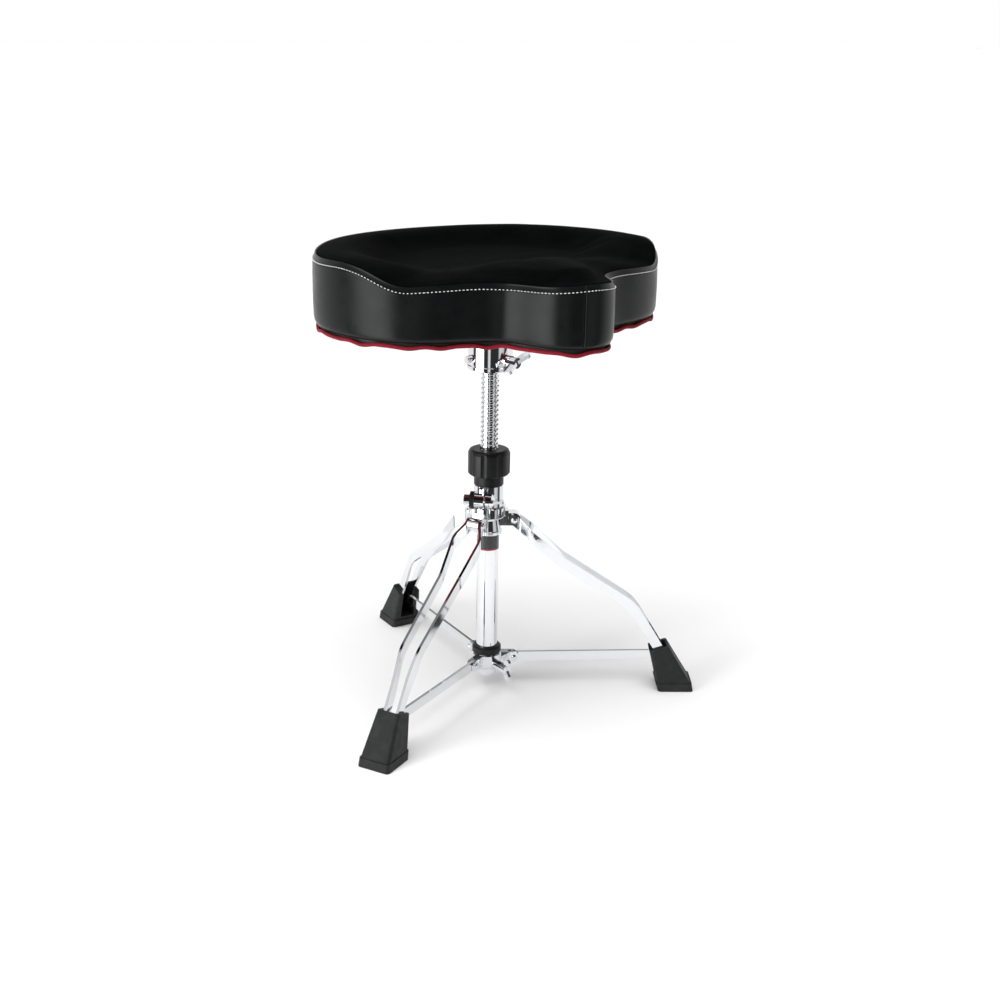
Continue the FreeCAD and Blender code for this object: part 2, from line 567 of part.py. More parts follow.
def make_seat():
    cover_low = size("plate_top")
    cover_top = cover_low + size("cover_thick")
    board_top = cover_top + size("board_thick")
    inset = size("board_inset")
    hole = size("seat_bolt_d / 2 + 0.3")
    cover = outline_slab(inset - 1.5, cover_low, cover_top)
    feature("seat_underside_cover", cover.cut(bolt_clearance(hole, cover_low - 1, cover_top + 1)))
    board = outline_slab(inset, cover_top, board_top)
    board = board.cut(bolt_clearance(hole, cover_top - 1, board_top + 1))
    board = board.cut(bolt_clearance(size("tee_barrel_d / 2"), board_top - size("board_thick - 2"),
                                     board_top + 1))
    feature("seat_base_board", board)

    wall = size("vinyl_thick")
    side = outline_slab(0, size("vinyl_low"), size("vinyl_top"))
    side = side.cut(outline_slab(wall, size("vinyl_low") - 1, size("vinyl_top") + 1))
    lip = outline_slab(0.5, size("vinyl_low"), board_top)
    lip = lip.cut(outline_slab(inset, size("vinyl_low") - 1, board_top + 1))
    feature("seat_side_vinyl", side.fuse(lip).removeSplitter())
    foam = outline_slab(wall, board_top, size("vinyl_top"))
    feature("seat_foam", foam.cut(bolt_clearance(size("tee_flange_d / 2 + 0.2"), board_top - 1,
                                                 board_top + 1.6)))

    # the cushion's top leans: its front rim is lower than its rear rim
    rise = size("seat_rear_z - seat_front_z")
    lean = math.degrees(math.atan2(rise, size("nose_reach + rear_reach")))
    crown, inset = size("cloth_round"), size("cloth_inset")
    rings = [seat_outline(inset)]
    rings[0].translate(V(0, 0, size("cloth_low")))
    for moved_in, drop in ((inset, crown), (inset + crown * 0.4, crown * 0.3), (inset + crown, 0)):
        ring = seat_outline(moved_in)
        ring.rotate(V(0, -size("nose_reach"), 0), V(1, 0, 0), lean)
        ring.translate(V(0, 0, size("seat_front_z") - drop))
        rings.append(ring)
    feature("seat_top_cloth", Part.makeLoft(rings, True, True))


# ---------------------------------------------------------------- tripod
def leg_bar(side):
    """One flat bar on edge: its side outline and its plan, extruded and intersected."""
    deep = size("bar_deep") / 2
    line = [V(size("pivot_reach"), size("pivot_z"), 0), V(size("knee_reach"), size("knee_z"), 0),
            V(size("shin_reach"), size("shin_z"), 0), V(size("toe_reach"), size("toe_z"), 0)]
    lead = line[0].sub(line[1]).normalize().multiply(deep + 1.5)
    line[0] = line[0].add(lead)
    upper, lower = mitred(line, deep), mitred(line, -deep)
    knee, shin = size("knee_r"), size("shin_r")
    end = deep * 0.98
    radii = [end, knee + deep, shin + deep, 1.5, 1.5, shin - deep, knee - deep, end]
    outline = arc_wire(upper + lower[::-1], radii)
    outline.rotate(V(), V(1, 0, 0), 90)
    outline.translate(V(0, 40, 0))
    profile = slab(outline, V(0, -80, 0))
    inner = [(16, "ear_wide / 2 + fold_gap"), (size("pivot_reach") + 8, "ear_wide / 2 + fold_gap"),
             (size("spread_reach"), "spread_gap"), (size("waist_reach"), "waist_gap"),
             (size("calf_reach"), "calf_gap"), (size("foot_reach"), "foot_gap"),
             (size("sole_out"), "foot_gap")]
    inner = [V(reach, side * size(text), 0) for reach, text in inner]
    outer = mitred(inner, side * size("bar_thick"))
    bend = size("bend_r")
    bends = [0, size("ear_bend_r"), size("spread_bend_r"), size("waist_bend_r"), bend, bend, 0]
    wide = arc_wire(inner + outer[::-1], bends + bends[::-1])
    plan = slab(wide, V(0, 0, 320))
    return profile.common(plan)


def make_foot():
    """Tapered rubber boot with a sole band and a slot that takes both bars and the stay."""
    half, top_half = size("sole_half"), size("foot_top_half")
    band, inset = size("sole_band"), size("foot_inset")
    band_in, band_out = size("sole_in") - 3, size("sole_out") - 2

    def ring(near, far, wide, height):
        corners = [V(near, -wide, height), V(far, -wide, height), V(far, wide, height),
                   V(near, wide, height)]
        return arc_wire(corners, [size("foot_corner_r")] * 4)

    top_in, top_out = size("foot_top_in"), size("foot_top_out")
    top_in_z, top_out_z = size("foot_top_in_z"), size("foot_top_out_z")
    lean_in = (top_in - band_in - inset) / (top_in_z - band)
    boot = Part.makeLoft([ring(size("sole_in"), size("sole_out"), half, 0),
                          ring(band_in, band_out, half - 0.8, band)], True, True)
    boot = boot.fuse(Part.makeLoft([
        ring(band_in + inset, band_out - inset, half - inset, band - 0.5),
        ring(top_in + lean_in * (top_out_z - top_in_z), top_out, top_half, top_out_z)], True, True))
    slope = (top_out_z - top_in_z) / (top_out - top_in)
    start, stop = top_in - 20, top_out + 20
    above = [V(start, 40, top_in_z + slope * (start - top_in)),
             V(stop, 40, top_in_z + slope * (stop - top_in)), V(stop, 40, 120), V(start, 40, 120)]
    boot = boot.cut(slab(Part.makePolygon(above + above[:1]), V(0, -80, 0)))
    gap = size("foot_gap + bar_thick") + 0.15
    floor = size("foot_floor")
    lean = V(size("foot_top_out") - size("sole_out") + 2, size("foot_top_out_z") - band, 0)
    lean.normalize()
    outer_low = V(size("sole_out") - 2 - inset - size("slot_wall"), band, 0)
    slot = [V(150, floor, 0), outer_low.add(V(lean).multiply((floor - band) / lean.y)),
            outer_low.add(V(lean).multiply(100)), V(150, 150, 0)]
    wire = arc_wire(slot, [0, size("slot_r"), 0, 0])
    wire.rotate(V(), V(1, 0, 0), 90)
    wire.translate(V(0, gap, 0))
    return boot.cut(slab(wire, V(0, -2 * gap, 0))).removeSplitter()


def rivet(reach, height, near, far, head, shank=3.0):
    """Round rivet across the leg plane from near to far, with a domed head at each end."""
    def ball_head(y, way):
        dome = Part.makeSphere(head * 1.25, V(reach, y - way * head * 0.75, height))
        keep_side = Part.makeBox(60, 30, 60, V(reach - 30, y if way > 0 else y - 30, height - 30))
        return dome.common(keep_side)
    stem = Part.makeCylinder(shank, far - near, V(reach, near, height), V(0, 1, 0))
    solids = [stem]
    solids.append(ball_head(far, 1))
    solids.append(ball_head(near, -1))
    return solids[0].multiFuse(solids[1:]).removeSplitter()


def make_legs():
    right_bar, left_bar = leg_bar(-1), leg_bar(1)
    boot = make_foot()
    hole = size("pivot_bolt_d / 2")
    reach, height = size("pivot_reach"), size("pivot_z")
    outer = size("ear_wide / 2 + fold_gap + bar_thick")
    bolt = rivet(reach, height, -outer, outer, 4.6, hole)
    across = Part.makeCylinder(hole, 80, V(reach, -40, height), V(0, 1, 0))
    pins = Part.makeCompound([Part.makeCylinder(
        size("pin_d / 2"), size("bar_thick + pin_depth"),
        V(size("pin_reach"), side * size("foot_gap"), size("pin_z")), V(0, side, 0))
        for side in (-1, 1)])
    right_bar, left_bar = (bar.cut(across).cut(pins) for bar in (right_bar, left_bar))
    boot = boot.cut(pins)
    for name, angle in LEG_ANGLES.items():
        place = radial(angle)
        feature(name + "_right_bar", right_bar, place)
        feature(name + "_left_bar", left_bar, place)
        feature(name + "_pivot_bolt", bolt, place)
        feature(name + "_foot", boot, place)
        feature(name + "_foot_pins", pins, place)


def make_stays():
    start = V(size("stay_in"), 0, size("stay_in_z"))
    stop = V(size("stay_out"), 0, size("stay_out_z"))
    length = stop.sub(start).Length
    deep, thick = size("stay_deep") / 2, size("stay_thick")
    bar = Part.makeBox(length, thick, 2 * deep, V(0, -thick / 2, -deep))
    for centre in (0, length):
        bar = bar.fuse(Part.makeCylinder(deep, thick, V(centre, -thick / 2, 0), V(0, 1, 0)))
    hole = size("pivot_bolt_d / 2")
    eye = Part.makeCylinder(hole + size("running_gap"), 20, V(0, -10, 0), V(0, 1, 0))
    bar = bar.cut(eye).removeSplitter()
    pitch = -math.degrees(math.atan2(stop.z - start.z, stop.x - start.x))
    bar.rotate(V(), V(0, 1, 0), pitch)
    bar.translate(start)
    edge = size("low_ear_wide / 2")
    bolt = rivet(start.x, start.z, -edge, edge, 3.8, hole)
    for name, angle in LEG_ANGLES.items():
        stay = name.replace("leg", "stay")
        feature(stay, bar, radial(angle))
        feature(stay + "_pin", bolt, radial(angle))


def make_lower_hub():
    bore = "tube_d / 2 + slide_gap"
    core = turned("low_core", [
        (bore, "low_hub_low"), ("low_hub_d / 2 - 3", "low_hub_low"),
        ("low_hub_d / 2", "low_hub_low + 3"), ("low_hub_d / 2", "low_hub_top - 2"),
        ("low_hub_d / 2 - 2", "low_hub_top"), (bore, "low_hub_top")])
    solids, holes = [core], []
    half = size("low_ear_wide / 2")
    for angle in LEG_ANGLES.values():
        solids.append(cylinder("low_ear_end", "low_ear_end", "low_ear_wide", along_side(
            angle, size("stay_in"), -half, size("stay_in_z"))))
        solids.append(box("low_ear", "stay_in - tube_d / 2 - 1", "low_ear_wide", "2 * low_ear_end",
                          radial(angle, size("tube_d / 2 + 1"), -half,
                                 size("stay_in_z - low_ear_end"))))
        gap = size("stay_thick / 2 + fold_gap")
        holes.append(box("low_gap", "40", "stay_thick + 2 * fold_gap", "40", radial(
            angle, size("stay_in - stay_deep / 2 - 1.2"), -gap, size("stay_in_z - 20"))))
        holes.append(cylinder("low_pivot", "pivot_bolt_d / 2 + 0.05", "30", along_side(
            angle, size("stay_in"), -15, size("stay_in_z"))))
    boss = along_radius(LOW_WING_ANGLE, size("tube_d / 2 + 1"), 0, size("low_wing_z"))
    solids.append(cylinder("low_wing_boss", "low_boss_d / 2",
                           "low_wing_reach - tube_d / 2 - 1 - fold_gap", boss))
    holes.append(cylinder("low_wing_hole", "low_wing_d / 2 + bolt_gap", "low_wing_reach", along_radius(
        LOW_WING_ANGLE, 0, 0, size("low_wing_z"))))
    holes.append(cylinder("low_bore", bore, "60", radial(0, 0, 0, size("low_hub_low - 10"))))
    keep(cut("low_hub_cut", fuse("low_hub_solid", solids), fuse("low_hub_holes", holes)),
         "lower_hub")
    keep(turned("lower_hub_ring", [
        (bore, "low_hub_top"), ("ring_d / 2", "low_hub_top"), ("ring_d / 2", "ring_top - 2"),
        ("ring_d / 2 - 2", "ring_top"), (bore, "ring_top")]), "lower_hub_ring")
    wing("lower_wing_bolt", "low_wing_d", "low_wing_span", "wing_thick - 1", "wing_tip_r - 0.5",
         "low_wing_reach - tube_d / 2 - 0.5", LOW_WING_ANGLE, size("low_wing_reach"),
         size("low_wing_z"), LOW_WING_TILT)


# ---------------------------------------------------------------- build, test and write
def check():
    for item in doc.Objects:
        if "Invalid" in item.State or "Error" in item.State:
            raise RuntimeError(f"{item.Label} failed: {item.State}")
    for part in PARTS:
        shape = part.Shape
        if shape.isNull() or not shape.isValid() or not shape.Solids:
            raise RuntimeError(f"{part.Label} has no valid solid")
        if part.Label != "seat_bolts" and abs(shape.Volume) < 10:
            raise RuntimeError(f"{part.Label} is empty")


make_post()
make_upper_hub()
make_clamp()
make_rod()
make_height_nut()
make_receiver()
make_seat_fasteners()
make_seat()
make_legs()
make_stays()
make_lower_hub()
doc.recompute()
check()
os.makedirs("parts", exist_ok=True)
for part in PARTS:
    part.Shape.exportStep(f"parts/{part.Label}.step")
    print(f"{part.Label:24s} {len(part.Shape.Solids)} solid(s) {part.Shape.Volume / 1000:9.2f} cm3")
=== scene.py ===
import json
import math

import bpy
import numpy as np
from mathutils import Matrix, Vector
from mathutils.bvhtree import BVHTree

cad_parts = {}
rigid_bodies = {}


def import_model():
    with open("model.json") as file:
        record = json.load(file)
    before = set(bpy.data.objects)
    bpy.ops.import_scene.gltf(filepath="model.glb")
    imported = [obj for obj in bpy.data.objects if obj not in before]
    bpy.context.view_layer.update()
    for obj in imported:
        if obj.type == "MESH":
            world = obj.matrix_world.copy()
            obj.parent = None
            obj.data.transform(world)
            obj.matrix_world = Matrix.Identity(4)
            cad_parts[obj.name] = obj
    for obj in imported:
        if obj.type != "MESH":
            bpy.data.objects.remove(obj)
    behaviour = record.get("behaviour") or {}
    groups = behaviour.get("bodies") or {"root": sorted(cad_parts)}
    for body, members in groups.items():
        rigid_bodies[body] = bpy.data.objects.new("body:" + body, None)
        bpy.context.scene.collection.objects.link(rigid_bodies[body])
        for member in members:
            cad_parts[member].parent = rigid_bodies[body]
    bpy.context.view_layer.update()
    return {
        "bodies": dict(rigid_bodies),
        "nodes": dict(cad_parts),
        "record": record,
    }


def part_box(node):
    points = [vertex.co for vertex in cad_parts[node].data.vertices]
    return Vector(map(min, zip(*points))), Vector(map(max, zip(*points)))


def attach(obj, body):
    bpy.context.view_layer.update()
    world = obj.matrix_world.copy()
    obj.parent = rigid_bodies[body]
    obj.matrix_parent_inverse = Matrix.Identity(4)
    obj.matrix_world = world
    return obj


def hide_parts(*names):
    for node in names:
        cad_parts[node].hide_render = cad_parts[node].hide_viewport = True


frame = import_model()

NODES = frame["nodes"]
MM = 0.001
rng = np.random.default_rng(7)


# ------------------------------------------------------------------ materials
class Paint:
    """One procedural material; patterns use object coordinates, which are metres."""

    def __init__(self, name, colour, rough, metal=0.0, **uniform):
        self.mat = bpy.data.materials.new(name)
        self.mat.use_nodes = True
        self.tree = self.mat.node_tree
        self.shader = self.tree.nodes["Principled BSDF"]
        self.shader.inputs["Base Color"].default_value = (*colour, 1.0)
        self.shader.inputs["Roughness"].default_value = rough
        self.shader.inputs["Metallic"].default_value = metal
        for key, value in uniform.items():
            self.shader.inputs[key.replace("_", " ")].default_value = value
        self.coords = self.tree.nodes.new("ShaderNodeTexCoord").outputs["Object"]
        self.colour = (*colour, 1.0)
        self.normal = None

    def node(self, kind, **values):
        made = self.tree.nodes.new(kind)
        for key, value in values.items():
            if key in made.inputs:
                made.inputs[key].default_value = value
            else:
                setattr(made, key, value)
        return made

    def link(self, output, socket):
        self.tree.links.new(output, socket)

    def stretched(self, scale):
        """Coordinates scaled by a different amount along each axis."""
        mapping = self.node("ShaderNodeMapping")
        mapping.inputs["Scale"].default_value = scale
        self.link(self.coords, mapping.inputs["Vector"])
        return mapping.outputs["Vector"]

    def noise(self, scale, detail=3.0, rough=0.55, stretch=None):
        made = self.node("ShaderNodeTexNoise", Scale=scale, Detail=detail, Roughness=rough)
        self.link(self.stretched(stretch) if stretch else self.coords, made.inputs["Vector"])
        return made.outputs["Fac"]

    def cells(self, scale):
        made = self.node("ShaderNodeTexVoronoi", Scale=scale)
        self.link(self.coords, made.inputs["Vector"])
        return made.outputs["Distance"]

    def waves(self, scale, direction, distortion=0.0):
        made = self.node("ShaderNodeTexWave", bands_direction=direction, Scale=scale,
                         Distortion=distortion)
        self.link(self.coords, made.inputs["Vector"])
        return made.outputs["Fac"]

    def remap(self, source, low, high, out_low, out_high):
        made = self.node("ShaderNodeMapRange")
        for key, value in zip(("From Min", "From Max", "To Min", "To Max"),
                              (low, high, out_low, out_high)):
            made.inputs[key].default_value = value
        self.link(source, made.inputs["Value"])
        return made.outputs["Result"]

    def combine(self, one, two, operation="MULTIPLY"):
        made = self.node("ShaderNodeMath", operation=operation)
        self.link(one, made.inputs[0])
        self.link(two, made.inputs[1])
        return made.outputs[0]

    def tint(self, factor, colour):
        """Mix a second colour over the base where factor is high."""
        made = self.node("ShaderNodeMix", data_type="RGBA")
        made.inputs["B"].default_value = (*colour, 1.0)
        base = self.shader.inputs["Base Color"]
        if base.is_linked:
            self.link(base.links[0].from_socket, made.inputs["A"])
        else:
            made.inputs["A"].default_value = self.colour
        self.link(factor, made.inputs["Factor"])
        self.link(made.outputs["Result"], base)
        return self

    def roughness(self, source, low, high, out_low, out_high):
        self.link(self.remap(source, low, high, out_low, out_high),
                  self.shader.inputs["Roughness"])
        return self

    def bump(self, height, depth, strength=1.0):
        made = self.node("ShaderNodeBump", Strength=strength, Distance=depth)
        self.link(height, made.inputs["Height"])
        if self.normal:
            self.link(self.normal, made.inputs["Normal"])
        self.normal = made.outputs["Normal"]
        self.link(self.normal, self.shader.inputs["Normal"])
        return self


def chrome():
    paint = Paint("chrome_plate", (0.83, 0.84, 0.86), 0.05, 1.0)
    smudge = paint.noise(22.0, 4.0, 0.6)
    paint.roughness(smudge, 0.35, 0.8, 0.035, 0.11)
    paint.tint(paint.remap(paint.noise(60.0, 2.0), 0.55, 0.9, 0.0, 0.35), (0.74, 0.75, 0.77))
    return paint.bump(paint.noise(260.0, 2.0), 0.00002, 0.5).mat


def worn_thread():
    paint = Paint("chrome_thread", (0.78, 0.79, 0.80), 0.1, 1.0)
    paint.roughness(paint.noise(140.0, 4.0), 0.3, 0.8, 0.07, 0.24)
    return paint.bump(paint.noise(900.0, 2.0), 0.00003, 0.5).mat


def zinc():
    paint = Paint("zinc_plate", (0.60, 0.61, 0.62), 0.34, 1.0)
    paint.tint(paint.remap(paint.noise(300.0), 0.45, 0.75, 0.0, 0.7), (0.48, 0.48, 0.46))
    paint.roughness(paint.noise(120.0), 0.3, 0.8, 0.26, 0.5)
    return paint.bump(paint.noise(1500.0, 2.0), 0.00003, 0.6).mat


def brass():
    paint = Paint("turned_brass", (0.70, 0.53, 0.27), 0.25, 1.0)
    lathe = paint.waves(420.0, "Z", 0.4)
    paint.tint(paint.remap(paint.noise(90.0), 0.45, 0.8, 0.0, 0.6), (0.52, 0.36, 0.17))
    paint.roughness(lathe, 0.0, 1.0, 0.2, 0.34)
    return paint.bump(lathe, 0.00003, 0.6).mat


def nylon(name, colour, rough):
    paint = Paint(name, colour, rough, Specular_IOR_Level=0.3)
    lighter = tuple(channel * 1.6 + 0.002 for channel in colour)
    paint.tint(paint.remap(paint.noise(35.0, 5.0), 0.45, 0.8, 0.0, 0.7), lighter)
    paint.roughness(paint.noise(70.0, 4.0), 0.3, 0.8, rough - 0.06, rough + 0.1)
    return paint.bump(paint.cells(1300.0), 0.00006, 0.35).mat


def rubber():
    paint = Paint("foot_rubber", (0.011, 0.0118, 0.0122), 0.6, Specular_IOR_Level=0.35)
    dust = paint.combine(paint.remap(paint.noise(55.0, 5.0, 0.65), 0.48, 0.8, 0.0, 1.0),
                         paint.remap(paint.noise(9.0), 0.3, 0.7, 0.25, 0.8))
    paint.tint(dust, (0.030, 0.031, 0.031))
    paint.roughness(paint.noise(120.0, 4.0), 0.3, 0.8, 0.5, 0.72)
    paint.bump(paint.noise(420.0, 4.0), 0.00012, 0.5)
    return paint.bump(paint.cells(1500.0), 0.00006, 0.4).mat


def gloss(name, colour):
    paint = Paint(name, colour, 0.22, Coat_Weight=0.6, Coat_Roughness=0.12)
    lighter = tuple(channel * 1.5 + 0.006 for channel in colour)
    paint.tint(paint.remap(paint.noise(160.0, 4.0), 0.5, 0.8, 0.0, 0.6), lighter)
    paint.roughness(paint.noise(90.0), 0.3, 0.8, 0.16, 0.34)
    return paint.bump(paint.noise(700.0, 2.0), 0.00002, 0.4).mat


def board():
    # plywood grain and plies over a near-black base colour; the near-black is painted shade,
    # standing in for the shadow under the vinyl's overhang where the board's edge shows
    paint = Paint("near_black_plywood_painted_shade", (0.016, 0.014, 0.013), 0.55)
    grain = paint.noise(30.0, 6.0, 0.7, (1.0, 9.0, 1.0))
    plies = paint.waves(280.0, "Z", 0.6)
    paint.tint(paint.remap(grain, 0.45, 0.75, 0.0, 0.8), (0.035, 0.028, 0.022))
    paint.tint(paint.remap(plies, 0.6, 1.0, 0.0, 0.4), (0.028, 0.022, 0.018))
    paint.roughness(grain, 0.3, 0.8, 0.45, 0.7)
    return paint.bump(plies, 0.0001, 0.4).bump(grain, 0.0001, 0.5).mat


def velour():
    paint = Paint("black_velour", (0.0009, 0.0010, 0.0011), 0.92, Sheen_Weight=0.008,
                  Sheen_Roughness=0.4, Sheen_Tint=(0.6, 0.66, 0.68, 1.0), Specular_IOR_Level=0.03)
    brushed = paint.noise(26.0, 5.0, 0.6, (1.0, 1.6, 1.0))
    pile = paint.noise(1500.0, 2.0, 0.7)
    paint.tint(paint.remap(brushed, 0.42, 0.72, 0.0, 0.9), (0.0024, 0.0027, 0.0028))
    paint.tint(paint.remap(pile, 0.5, 0.8, 0.0, 0.5), (0.0034, 0.0037, 0.0039))
    paint.roughness(brushed, 0.3, 0.8, 0.82, 1.0)
    paint.bump(brushed, 0.0006, 0.25)
    return paint.bump(pile, 0.0004, 0.7).mat


def vinyl():
    paint = Paint("black_vinyl", (0.0042, 0.0049, 0.0051), 0.3, Specular_IOR_Level=0.2)
    pebbles = paint.noise(1100.0, 3.0, 0.6)
    broad = paint.noise(30.0, 4.0)
    paint.tint(paint.remap(broad, 0.45, 0.8, 0.0, 0.7), (0.0070, 0.0080, 0.0083))
    paint.roughness(paint.noise(60.0, 4.0), 0.3, 0.8, 0.27, 0.38)
    paint.bump(broad, 0.0008, 0.16)
    return paint.bump(pebbles, 0.00016, 0.4).mat


def red_cloth(name, colour, dark, light):
    paint = Paint(name, colour, 0.72, Sheen_Weight=0.08, Sheen_Roughness=0.5,
                  Sheen_Tint=(1.0, 0.35, 0.4, 1.0), Specular_IOR_Level=0.3)
    weave = paint.combine(paint.waves(520.0, "X"), paint.waves(520.0, "Y"), "ADD")
    paint.tint(paint.remap(weave, 0.9, 1.9, 0.0, 0.6), light)
    paint.tint(paint.remap(paint.noise(40.0, 4.0), 0.5, 0.8, 0.0, 0.6), dark)
    paint.roughness(weave, 0.2, 1.8, 0.8, 0.62)
    return paint.bump(weave, 0.00022, 0.6).mat


def thread():
    paint = Paint("stitch_thread", (0.80, 0.81, 0.80), 0.6, Sheen_Weight=0.2)
    twist = paint.waves(900.0, "DIAGONAL")
    paint.tint(paint.remap(twist, 0.4, 1.0, 0.0, 0.5), (0.60, 0.61, 0.61))
    paint.roughness(twist, 0.0, 1.0, 0.5, 0.7)
    return paint.bump(twist, 0.0001, 0.6).mat


def pale_floor():
    paint = Paint("studio_floor", (0.90, 0.90, 0.90), 0.6)
    paint.roughness(paint.noise(3.0), 0.3, 0.8, 0.55, 0.7)
    return paint.mat


CHROME = chrome()
VINYL = vinyl()
VELOUR = velour()
HEM_RED = red_cloth("red_hem_cloth", (0.21, 0.0035, 0.013), (0.13, 0.002, 0.008),
                    (0.30, 0.007, 0.022))
# the underside is the hem's red cloth darkened as painted shade, because the underside lies in
# shadow
RED_UNDERSIDE_PAINTED_SHADE = red_cloth("red_underside_painted_shade", (0.09, 0.003, 0.008), (0.05, 0.002, 0.005),
                (0.14, 0.005, 0.012))
THREAD = thread()
LOOKS = {
    "chrome": CHROME, "black_plastic": nylon("satin_nylon", (0.006, 0.0066, 0.0070), 0.38),
    "black_label": gloss("label_black", (0.012, 0.012, 0.013)),
    "red_label": gloss("label_red", (0.30, 0.012, 0.02)), "brass": brass(),
    "zinc_steel": zinc(), "red_fabric": RED_UNDERSIDE_PAINTED_SHADE, "board_wood": board(), "black_vinyl": VINYL,
    "foam": VELOUR, "black_velour": VELOUR, "black_rubber": rubber(),
}
for part in frame["record"]["subparts"]:
    node = NODES[part["node"]]
    look = worn_thread() if part["node"] == "threaded_rod" else LOOKS[part["material_slot"]]
    if not node.material_slots:
        node.data.materials.append(look)
    for place in node.material_slots:
        place.material = look


# ------------------------------------------------------------------ the saddle's form
# plan of the saddle on its right half, from the nose to the rear (metres)
HALF_PLAN = [(0.044, -0.2065), (0.0725, -0.152), (0.128, -0.1275), (0.190, -0.092),
             (0.2200, -0.038), (0.228, 0.020), (0.1984, 0.095), (0.135, 0.160)]
NOSE, REAR = (0.0, -0.228), (0.0, 0.195)
# height of the stitching and of the velour's edge, by angle from the nose
STITCH_Z = [(0, .5805), (5, .579), (14.5, .5759), (25, .574), (39, .5745), (53, .5722),
            (61.5, .5695), (66, .5755), (74, .588), (82, .5925), (95, .5902), (180, .5905)]
EDGE_Z = [(0, .5865), (5, .585), (14.5, .5818), (25, .580), (39, .5805), (53, .578),
          (61.5, .5755), (66, .5815), (74, .594), (82, .5985), (95, .5965), (180, .5965)]
BOTTOM = 0.5122
SEAM_ANGLE = -3.0
CENTRE = np.array([0.0, 0.012])


def closed_spline(points, samples):
    """Smooth closed curve through the points, a periodic cubic in chord length."""
    pts = np.array(points, float)
    count = len(pts)
    step = np.linalg.norm(np.roll(pts, -1, 0) - pts, axis=1)
    matrix = np.zeros((count, count))
    right = np.zeros((count, 2))
    for i in range(count):
        before, here = step[i - 1], step[i]
        matrix[i, i - 1] += before
        matrix[i, i] += 2 * (before + here)
        matrix[i, (i + 1) % count] += here
        right[i] = 6 * ((pts[(i + 1) % count] - pts[i]) / here - (pts[i] - pts[i - 1]) / before)
    bend = np.linalg.solve(matrix, right)
    line = []
    for i in range(count):
        j, length = (i + 1) % count, step[i]
        for s in np.linspace(0, 1, samples, endpoint=False):
            a, b = (1 - s) * length, s * length
            line.append((bend[i] * a ** 3 + bend[j] * b ** 3) / (6 * length)
                        + (pts[i] / length - bend[i] * length / 6) * a
                        + (pts[j] / length - bend[j] * length / 6) * b)
    return np.array(line)


PLAN = closed_spline([NOSE, *HALF_PLAN, REAR, *[(-x, y) for x, y in reversed(HALF_PLAN)]], 80)


def angles():
    """Columns round the saddle in degrees from the nose, closer together at the upright seam."""
    even = [a for a in np.arange(-180, 180, 1.25) if abs(a - SEAM_ANGLE) > 1.1]
    near = [SEAM_ANGLE + d for d in (-0.9, -0.5, -0.28, -0.12, 0.0, 0.12, 0.28, 0.5, 0.9)]
    return np.array(sorted(even + near))


THETA = angles()


def outline(theta):
    """Points of the plan at angles from the nose, and the unit normals that point inwards."""
    line = np.degrees(np.arctan2(PLAN[:, 0], -PLAN[:, 1]))
    order = np.argsort(line)
    reach = np.interp(theta, line[order], np.linalg.norm(PLAN[order], axis=1), period=360)
    fine = np.radians(theta)
    points = np.stack([reach * np.sin(fine), -reach * np.cos(fine)], 1)
    edge = 0.2
    ahead, behind = (np.interp(theta + d, line[order], np.linalg.norm(PLAN[order], axis=1),
                               period=360) for d in (edge, -edge))
    one, two = np.radians(theta + edge), np.radians(theta - edge)
    along = np.stack([ahead * np.sin(one) - behind * np.sin(two),
                      -ahead * np.cos(one) + behind * np.cos(two)], 1)
    along /= np.linalg.norm(along, axis=1, keepdims=True)
    return points, np.stack([-along[:, 1], along[:, 0]], 1)


def level(table, theta):
    """Height by angle from a table of corners, rounded off over a few degrees."""
    spread = 2.6
    corner, height = zip(*table)
    total = np.zeros(len(theta))
    weight = 0.0
    for shift in np.linspace(-3, 3, 25):
        share = math.exp(-shift * shift / 2)
        wrapped = np.abs((theta + shift * spread + 180) % 360 - 180)
        total += share * np.interp(wrapped, corner, height)
        weight += share
    return total / weight


def smooth(value, low, high):
    """Rises from 0 at low to 1 at high, level at both ends."""
    s = np.clip((value - low) / (high - low), 0, 1)
    return s * s * (3 - 2 * s)


def basin(x, y):
    """Height of the dished seat inside its rim, with the hump that runs to the nose."""
    hump = 0.0075 * np.exp(-(x / 0.060) ** 2) * smooth(-y, 0.02, 0.135)
    back = 0.004 * smooth(y, 0.02, 0.14)
    return 0.5815 + hump + back - 0.003 * smooth(np.abs(x), 0.05, 0.13) * smooth(-y, 0.02, 0.1)


def crest(x, y, deep):
    """The nose's firm hump above the dish and the rim, by depth inside the velour's edge."""
    wide = 0.0105 * np.exp(-(x / 0.062) ** 4) * smooth(-y, 0.035, 0.125)
    return wide * smooth(deep, 0.0, 0.024)


# side rows: (inset in mm, height in mm above the bottom edge), rolled under the board
ROLL = [(11.5, 0.5), (8.0, 0.2), (4.4, 0.0), (2.4, 0.7), (1.0, 2.3), (0.3, 4.8), (0.05, 9.0)]
SIDE = (0.16, 0.3, 0.44, 0.58, 0.72, 0.84, 0.93)
STITCH_ROW = len(ROLL) + len(SIDE) + 1
INNER = [(6.6, 1.3), (9.4, 2.2), (13.6, 3.0), (19.0, 3.4)]
TOP = (0.05, 0.1, 0.15, 0.2, 0.26, 0.32, 0.38, 0.45, 0.52, 0.6, 0.68, 0.76, 0.84, 0.92, 0.97)


